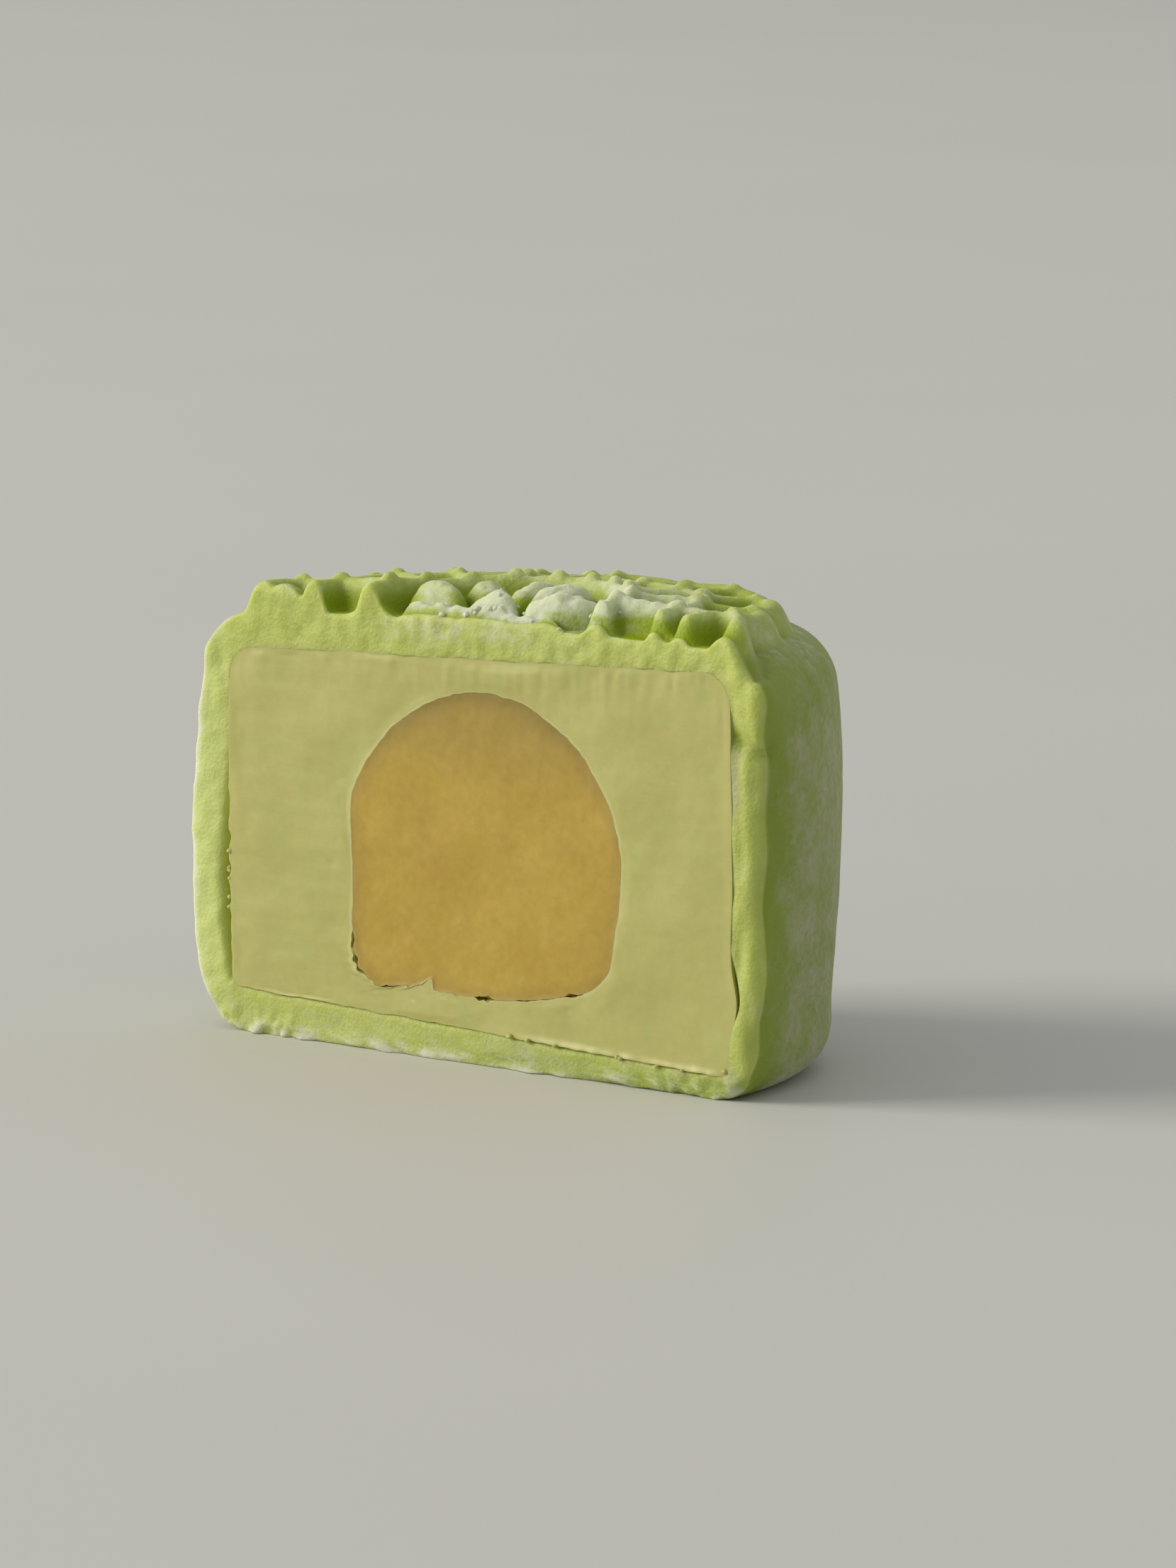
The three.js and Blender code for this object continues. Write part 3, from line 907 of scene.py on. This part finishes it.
def snow_skin_material():
    """Steamed glutinous-rice dough: soft and matt, faintly translucent, dusted with cooked flour."""
    material, tree, coords = new_material("steamed_rice_dough")
    cell = add(tree, "ShaderNodeAttribute", {"attribute_name": "cell"}).outputs["Fac"]
    fresh = add(tree, "ShaderNodeAttribute", {"attribute_name": "fresh_cut_and_shade"}).outputs["Fac"]
    flour = add(tree, "ShaderNodeAttribute", {"attribute_name": "flour"}).outputs["Fac"]
    crevice = add(tree, "ShaderNodeAttribute", {"attribute_name": "crevice"}).outputs["Fac"]

    # The kneaded colour drifts over about 7 mm, with finer mottling of about 1.5 mm
    drift = add(tree, "ShaderNodeTexNoise", None, {"Vector": coords, "Scale": per_metre(7), "Detail": 3})
    mottle = add(tree, "ShaderNodeTexNoise", None, {"Vector": coords, "Scale": per_metre(1.5), "Detail": 4})
    outside = add(tree, "ShaderNodeMix", COLOURS,
                  {SHARE: drift.outputs["Fac"], FIRST: colour("#82952F"), SECOND: colour("#91A23C")})
    cut = add(tree, "ShaderNodeMix", COLOURS,
              {SHARE: mottle.outputs["Fac"], FIRST: colour("#A3B04E"), SECOND: colour("#BCC570")})
    deep = add(tree, "ShaderNodeMix", COLOURS,
               {SHARE: cell, FIRST: outside.outputs[MIXED], SECOND: colour("#8B9F00")})
    shut_in = add(tree, "ShaderNodeMix", COLOURS,
                  {SHARE: crevice, FIRST: deep.outputs[MIXED], SECOND: colour("#B2BE00")})
    # Where the fresh-cut share is low the outside colour shows; at the cut's lower right that is painted
    # shade
    dough = add(tree, "ShaderNodeMix", COLOURS,
                {SHARE: fresh, FIRST: shut_in.outputs[MIXED], SECOND: cut.outputs[MIXED]})

    # Painted light: towards the left end the dough is painted paler, standing in for light from the left
    # that gets through its thin edge
    place = add(tree, "ShaderNodeSeparateXYZ", None, {"Vector": coords})
    painted_edge_glow = add(tree, "ShaderNodeMapRange", EASED,
               {"Value": place.outputs["X"], "From Min": -25 * MM, "From Max": -31 * MM, "To Max": 0.85})
    painted_glow_dough = add(tree, "ShaderNodeMix", COLOURS,
              {SHARE: painted_edge_glow.outputs[0], FIRST: dough.outputs[MIXED], SECOND: colour("#C9D486")})

    # Flour gathers in specks of about 0.8 mm, flattened by the mould, and in patches of 3 mm
    flat = add(tree, "ShaderNodeMapping", None, {"Vector": coords, "Scale": (1, 1, 1.5)})
    specks = add(tree, "ShaderNodeTexNoise", None,
                 {"Vector": flat.outputs[0], "Scale": per_metre(0.8), "Detail": 4})
    patches = add(tree, "ShaderNodeTexNoise", None, {"Vector": coords, "Scale": per_metre(3), "Detail": 3})
    spread = add(tree, "ShaderNodeMath", {"operation": "ADD"},
                 {0: specks.outputs["Fac"], 1: patches.outputs["Fac"]})
    level = add(tree, "ShaderNodeMath", {"operation": "ADD"}, {0: spread.outputs[0], 1: flour})
    dusted = add(tree, "ShaderNodeMapRange", EASED,
                 {"Value": level.outputs[0], "From Min": 1.05, "From Max": 2.1, "To Max": 0.86})
    # On the wall the flour is pressed in, and painted a darker khaki there as painted shade; on the top, at
    # the left of the
    #     # cut and at the foot it is loose and white, and at the left end the white is also painted light
    #     from the left
    loose = add(tree, "ShaderNodeMapRange", EASED,
                {"Value": place.outputs["Z"], "From Min": 34 * MM, "From Max": 37.5 * MM})
    # Partly flour and partly painted light: the powder turns whiter at the left end, where light from the
    # left falls
    left_flour_and_light = add(tree, "ShaderNodeMapRange", EASED,
                 {"Value": place.outputs["X"], "From Min": -28 * MM, "From Max": -30.5 * MM})
    picked_up = add(tree, "ShaderNodeMapRange", EASED,
                    {"Value": place.outputs["Z"], "From Min": 2.2 * MM, "From Max": 0.8 * MM,
                     "To Max": 0.75})
    white_top_and_lit_left = add(tree, "ShaderNodeMath", {"operation": "MAXIMUM"},
                      {0: loose.outputs[0], 1: left_flour_and_light.outputs[0]})
    white = add(tree, "ShaderNodeMath", {"operation": "MAXIMUM"},
                {0: white_top_and_lit_left.outputs[0], 1: picked_up.outputs[0]})
    powder = add(tree, "ShaderNodeMix", COLOURS,
                 {SHARE: white.outputs[0], FIRST: colour("#AFAE90"), SECOND: colour("#CDD2BC")})
    skin = add(tree, "ShaderNodeMix", COLOURS,
               {SHARE: dusted.outputs[0], FIRST: painted_glow_dough.outputs[MIXED], SECOND: powder.outputs[MIXED]})

    rough = add(tree, "ShaderNodeMapRange", None,
                {"Value": dusted.outputs[0], "To Min": 0.52, "To Max": 0.9})
    velvet = add(tree, "ShaderNodeMath", {"operation": "MULTIPLY"}, {0: dusted.outputs[0], 1: 0.5})
    grains = add(tree, "ShaderNodeTexNoise", None,
                 {"Vector": coords, "Scale": per_metre(0.3), "Detail": 3})
    height = add(tree, "ShaderNodeMath", {"operation": "ADD"},
                 {0: grains.outputs["Fac"], 1: specks.outputs["Fac"]})
    bump = add(tree, "ShaderNodeBump", None,
               {"Height": height.outputs[0], "Strength": 0.5, "Distance": 0.22 * MM})
    shader = add(tree, "ShaderNodeBsdfPrincipled", {"subsurface_method": "RANDOM_WALK"}, {
        "Base Color": skin.outputs[MIXED], "Roughness": rough.outputs[0], "Normal": bump.outputs[0],
        "Specular IOR Level": 0.28,
        "Subsurface Weight": 0.5, "Subsurface Radius": (1.0, 1.15, 0.3), "Subsurface Scale": 2.0 * MM,
        "Sheen Weight": velvet.outputs[0], "Sheen Roughness": 0.45, "Sheen Tint": colour("#E6E6D4")})
    add(tree, "ShaderNodeOutputMaterial", None, {"Surface": shader.outputs[0]})
    return material


def bean_material():
    """Mung-bean paste cut with a knife: dense, smooth and faintly moist."""
    material, tree, coords = new_material("mung_bean_paste")
    halo = add(tree, "ShaderNodeAttribute", {"attribute_name": "by_core"}).outputs["Fac"]
    # Kneading leaves patches of about 6 mm, and the sieved bean a grain of about 0.6 mm
    patches = add(tree, "ShaderNodeTexNoise", None, {"Vector": coords, "Scale": per_metre(6), "Detail": 5})
    grain = add(tree, "ShaderNodeTexNoise", None, {"Vector": coords, "Scale": per_metre(0.6), "Detail": 4})
    paste = add(tree, "ShaderNodeMix", COLOURS,
                {SHARE: patches.outputs["Fac"], FIRST: colour("#A5A258"), SECOND: colour("#BAB872")})
    # Some of the paste is greener, in smears of about 2.5 mm
    smears = add(tree, "ShaderNodeTexNoise", None, {"Vector": coords, "Scale": per_metre(2.5), "Detail": 3})
    green = add(tree, "ShaderNodeMapRange", EASED,
                {"Value": smears.outputs["Fac"], "From Min": 0.48, "From Max": 0.75, "To Max": 0.6})
    smeared = add(tree, "ShaderNodeMix", COLOURS,
                  {SHARE: green.outputs[0], FIRST: paste.outputs[MIXED], SECOND: colour("#A9B069")})
    pale = add(tree, "ShaderNodeMath", {"operation": "MULTIPLY"}, {0: halo, 1: 0.7})
    ringed = add(tree, "ShaderNodeMix", COLOURS,
                 {SHARE: pale.outputs[0], FIRST: smeared.outputs[MIXED], SECOND: colour("#C6C286")})
    speckled = add(tree, "ShaderNodeMapRange", None,
                   {"Value": grain.outputs["Fac"], "From Min": 0.3, "From Max": 0.7,
                    "To Min": 0.97, "To Max": 1.03})
    face = add(tree, "ShaderNodeMix", {"data_type": "RGBA", "blend_type": "MULTIPLY"},
               {SHARE: 1.0, FIRST: ringed.outputs[MIXED], SECOND: speckled.outputs[0]})
    # The knife drags the paste into fine lines that run along the cut, about 0.4 mm apart
    stroke = add(tree, "ShaderNodeMapping", None, {"Vector": coords, "Scale": (0.12, 1, 1)})
    lines = add(tree, "ShaderNodeTexNoise", None,
                {"Vector": stroke.outputs[0], "Scale": per_metre(0.4), "Detail": 2})
    height = add(tree, "ShaderNodeMath", {"operation": "ADD"},
                 {0: lines.outputs["Fac"], 1: grain.outputs["Fac"]})
    bump = add(tree, "ShaderNodeBump", None,
               {"Height": height.outputs[0], "Strength": 0.12, "Distance": 0.08 * MM})
    shader = add(tree, "ShaderNodeBsdfPrincipled", {"subsurface_method": "RANDOM_WALK"}, {
        "Base Color": face.outputs[MIXED], "Roughness": 0.5, "Normal": bump.outputs[0],
        "Specular IOR Level": 0.4,
        "Subsurface Weight": 0.2, "Subsurface Radius": (1.0, 0.9, 0.35), "Subsurface Scale": 1.0 * MM})
    add(tree, "ShaderNodeOutputMaterial", None, {"Surface": shader.outputs[0]})
    return material


def custard_material():
    """Baked custard paste: richer and moister than the beans, with paler clouds in it."""
    material, tree, coords = new_material("custard_paste")
    edge = add(tree, "ShaderNodeAttribute", {"attribute_name": "by_edge"}).outputs["Fac"]
    # Clouds of about 7 mm, and fat and sugar specks of about 0.8 mm
    clouds = add(tree, "ShaderNodeTexNoise", None, {"Vector": coords, "Scale": per_metre(7), "Detail": 4})
    specks = add(tree, "ShaderNodeTexNoise", None,
                 {"Vector": coords, "Scale": per_metre(0.8), "Detail": 4})
    body = add(tree, "ShaderNodeMix", COLOURS,
               {SHARE: clouds.outputs["Fac"], FIRST: colour("#A28527"), SECOND: colour("#BFA44A")})
    # It is darker at its edge, and towards its top
    place = add(tree, "ShaderNodeSeparateXYZ", None, {"Vector": coords})
    towards_top = add(tree, "ShaderNodeMapRange", EASED,
                      {"Value": place.outputs["Z"], "From Min": 22 * MM, "From Max": 31 * MM,
                       "To Max": 0.6})
    dark = add(tree, "ShaderNodeMath", {"operation": "MULTIPLY_ADD"},
               {0: edge, 1: 0.4, 2: towards_top.outputs[0]})
    edged = add(tree, "ShaderNodeMix", COLOURS,
                {SHARE: dark.outputs[0], FIRST: body.outputs[MIXED], SECOND: colour("#8F7C3A")})
    speckled = add(tree, "ShaderNodeMapRange", None,
                   {"Value": specks.outputs["Fac"], "From Min": 0.3, "From Max": 0.7,
                    "To Min": 0.93, "To Max": 1.06})
    face = add(tree, "ShaderNodeMix", {"data_type": "RGBA", "blend_type": "MULTIPLY"},
               {SHARE: 1.0, FIRST: edged.outputs[MIXED], SECOND: speckled.outputs[0]})
    bump = add(tree, "ShaderNodeBump", None,
               {"Height": specks.outputs["Fac"], "Strength": 0.2, "Distance": 0.1 * MM})
    shader = add(tree, "ShaderNodeBsdfPrincipled", {"subsurface_method": "RANDOM_WALK"}, {
        "Base Color": face.outputs[MIXED], "Roughness": 0.46, "Normal": bump.outputs[0],
        "Specular IOR Level": 0.35,
        "Subsurface Weight": 0.25, "Subsurface Radius": (1.0, 0.75, 0.25), "Subsurface Scale": 1.4 * MM})
    add(tree, "ShaderNodeOutputMaterial", None, {"Surface": shader.outputs[0]})
    return material


def flour_material():
    """Cooked rice flour in loose lumps: dry and nearly white, with a little of the dough's green."""
    material, tree, coords = new_material("cooked_rice_flour")
    grains = add(tree, "ShaderNodeTexNoise", None,
                 {"Vector": coords, "Scale": per_metre(0.25), "Detail": 3})
    powder = add(tree, "ShaderNodeMix", COLOURS,
                 {SHARE: grains.outputs["Fac"], FIRST: colour("#BEC69A"), SECOND: colour("#E2E3D6")})
    bump = add(tree, "ShaderNodeBump", None,
               {"Height": grains.outputs["Fac"], "Strength": 0.5, "Distance": 0.08 * MM})
    shader = add(tree, "ShaderNodeBsdfPrincipled", None, {
        "Base Color": powder.outputs[MIXED], "Roughness": 0.95, "Normal": bump.outputs[0], "IOR": 1.45})
    add(tree, "ShaderNodeOutputMaterial", None, {"Surface": shader.outputs[0]})
    return material


def table_material():
    """A pale satin-painted board, barely uneven in tone."""
    material, tree, coords = new_material("satin_paint")
    tone = add(tree, "ShaderNodeTexNoise", None, {"Vector": coords, "Scale": per_metre(160), "Detail": 2})
    paint = add(tree, "ShaderNodeMix", COLOURS,
                {SHARE: tone.outputs["Fac"], FIRST: colour("#C8C8C3"), SECOND: colour("#CECEC9")})
    shader = add(tree, "ShaderNodeBsdfPrincipled", None, {
        "Base Color": paint.outputs[MIXED], "Roughness": 0.6, "IOR": 1.5})
    add(tree, "ShaderNodeOutputMaterial", None, {"Surface": shader.outputs[0]})
    return material


# The stage, in metres

TABLE_HALF = 6.0
EYE = Vector((459.8, -559.0, 128.4)) * MM
AIM = Vector((0.0, 0.0, 22.0)) * MM
LENS = 197
KEY_PLACE = Vector((-2.5, -1.95, 1.45))
KEY_SIZE = 1.9
KEY_WATTS = 110
KEY_AIM = Vector((0, 0, 0.02))
SKY_STRENGTH = 0.54


def make_table():
    bm = bmesh.new()
    bmesh.ops.create_grid(bm, x_segments=4, y_segments=4, size=TABLE_HALF)
    mesh = bpy.data.meshes.new("table_top")
    bm.to_mesh(mesh)
    bm.free()
    mesh.materials.append(table_material())
    table = bpy.data.objects.new("table_top", mesh)
    bpy.context.scene.collection.objects.link(table)


def aim(thing, place, target):
    thing.location = place
    thing.rotation_euler = (target - place).to_track_quat("-Z", "Y").to_euler()
    bpy.context.scene.collection.objects.link(thing)


def light_stage():
    lamp = bpy.data.lights.new("window", "AREA")
    lamp.shape = "SQUARE"
    lamp.size = KEY_SIZE
    lamp.energy = KEY_WATTS
    lamp.color = colour("#FFF8EC")[:3]
    aim(bpy.data.objects.new("window", lamp), KEY_PLACE, KEY_AIM)
    world = bpy.data.worlds.new("studio")
    world.use_nodes = True
    background = world.node_tree.nodes["Background"]
    background.inputs["Color"].default_value = colour("#F2F3F2")
    background.inputs["Strength"].default_value = SKY_STRENGTH
    bpy.context.scene.world = world


def place_camera():
    lens = bpy.data.cameras.new("camera")
    lens.lens = LENS
    lens.sensor_width = 36
    lens.clip_start = 0.01
    camera = bpy.data.objects.new("camera", lens)
    aim(camera, EYE, AIM)
    bpy.context.scene.camera = camera


place_camera()
skin = make_skin(snow_skin_material())
make_filling(bean_material())
make_core(custard_material())
make_flour(skin, flour_material())
make_crumbs(bpy.data.materials["mung_bean_paste"])
make_table()
light_stage()
bpy.context.scene.view_settings.view_transform = "Standard"
